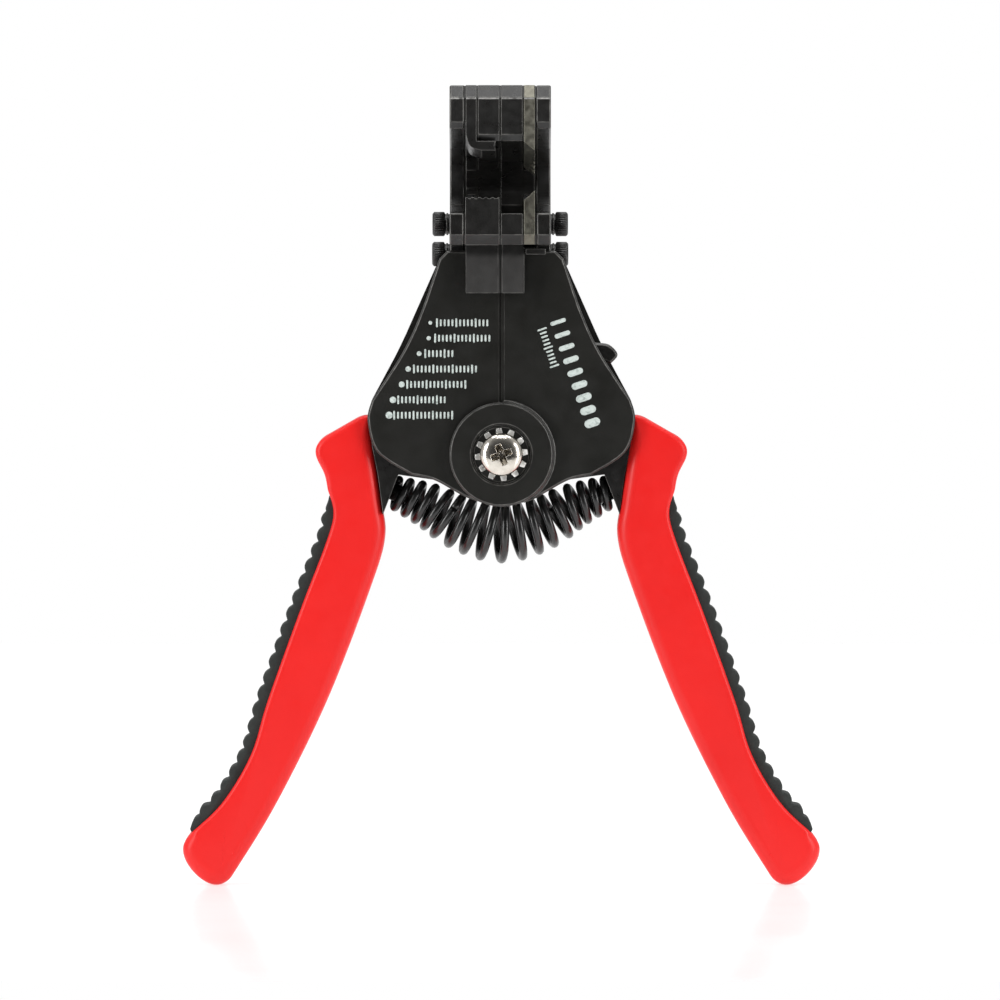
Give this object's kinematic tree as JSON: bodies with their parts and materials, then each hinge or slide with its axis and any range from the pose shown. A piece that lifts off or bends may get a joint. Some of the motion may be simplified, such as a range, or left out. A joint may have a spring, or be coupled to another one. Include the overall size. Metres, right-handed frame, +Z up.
{
  "type": "wire stripper",
  "caption": "Self-adjusting wire stripper: hinged frame halves with gripping and cutting jaws, worked by sprung levers with ribbed moulded handles.",
  "frame": {"origin": "bottom centre of the bounding box, under the main pivot, on the surface that the handle tips stand on", "axes": "+Z up along the tool from the handle tips to the jaws, +X to the right seen from the front, +Y from the front plates to the rear plates"},
  "size_m": [0.142, 0.038, 0.178],
  "materials": {
    "black_paint": "satin near-black paint over stamped steel",
    "black_steel": "semi-gloss black oxide",
    "ground_steel": "ground tool steel, dark and oiled",
    "zinc_steel": "bright zinc or nickel plate",
    "spring_steel": "blackened spring wire",
    "red_plastic": "satin moulded red plastic",
    "grey_rubber": "matte dark grey rubber"
  },
  "bodies": {
    "right_frame": {"right_front_plate": "black_paint", "right_rear_plate": "black_paint", "right_spring_post": "black_steel", "right_spacer": "black_steel", "right_lower_cheek": "black_steel", "right_hinge_screw": "black_steel", "right_hinge_washer": "black_steel", "right_clamp_screw": "black_steel", "right_clamp_washer": "black_steel", "right_lower_block": "black_steel", "lower_blade": "ground_steel", "wire_stop": "black_steel", "pivot_screw": "zinc_steel", "pivot_star_washer": "zinc_steel", "pivot_sleeve": "zinc_steel", "pivot_rear_washer": "zinc_steel", "pivot_nut": "zinc_steel", "handle_spring": "spring_steel", "frame_spring": "spring_steel", "catch_pin": "black_steel", "right_jaw_spring": "spring_steel"},
    "left_frame": {"left_front_plate": "black_paint", "left_rear_plate": "black_paint", "left_spring_post": "black_steel", "left_spacer": "black_steel", "left_lower_cheek": "black_steel", "left_hinge_screw": "black_steel", "left_hinge_washer": "black_steel", "left_clamp_screw": "black_steel", "left_clamp_washer": "black_steel", "left_lower_block": "black_steel", "left_jaw_spring": "spring_steel"},
    "left_handle": {"left_lever": "black_steel", "left_grip": "red_plastic", "left_grip_inlay": "grey_rubber", "left_spring_seat": "black_steel"},
    "right_handle": {"right_lever": "black_steel", "right_grip": "red_plastic", "right_grip_inlay": "grey_rubber", "right_spring_seat": "black_steel"},
    "left_upper_jaw": {"left_jaw_arm": "black_steel", "left_jaw_block": "black_steel", "left_jaw_pin": "black_steel", "upper_gripper": "black_steel"},
    "right_upper_jaw": {"right_jaw_arm": "black_steel", "right_jaw_block": "black_steel", "right_jaw_pin": "black_steel", "upper_blade": "ground_steel"},
    "catch": {"catch_lever": "black_steel"}
  },
  "joints": [
    {"name": "frame_spread", "type": "hinge", "parent": "right_frame", "child": "left_frame", "pos_m": [0, 0, 0.096], "axis": [0, -1, 0], "range_deg": [0, 22], "stiffness_Nm_per_rad": 4, "springref_deg": -17.19, "deforming": ["handle_spring", "frame_spring"]},
    {"name": "left_squeeze", "type": "hinge", "parent": "left_frame", "child": "left_handle", "pos_m": [0, 0, 0.096], "axis": [0, -1, 0], "range_deg": [0, 12], "stiffness_Nm_per_rad": 2, "springref_deg": -17.19, "deforming": ["handle_spring"]},
    {"name": "right_squeeze", "type": "hinge", "parent": "right_frame", "child": "right_handle", "pos_m": [0, 0, 0.096], "axis": [0, 1, 0], "range_deg": [0, 12], "stiffness_Nm_per_rad": 2, "springref_deg": -17.19, "deforming": ["handle_spring"]},
    {"name": "left_jaw_close", "type": "hinge", "parent": "left_frame", "child": "left_upper_jaw", "pos_m": [-0.007, 0.012, 0.147], "axis": [1, 0, 0], "range_deg": [0, 16.5]},
    {"name": "right_jaw_close", "type": "hinge", "parent": "right_frame", "child": "right_upper_jaw", "pos_m": [0.0065, 0.012, 0.147], "axis": [1, 0, 0], "range_deg": [0, 16.5]},
    {"name": "catch_swing", "type": "hinge", "parent": "right_frame", "child": "catch", "pos_m": [0.0155, 0, 0.1206], "axis": [0, 1, 0], "range_deg": [0, 8], "stiffness_Nm_per_rad": 0.02, "springref_deg": -11.46}
  ],
  "couplings": [
    {"joint": "right_squeeze", "follows": "left_squeeze", "ratio": 1},
    {"joint": "left_jaw_close", "follows": "left_squeeze", "ratio": 1.375},
    {"joint": "right_jaw_close", "follows": "left_squeeze", "ratio": 1.375}
  ]
}
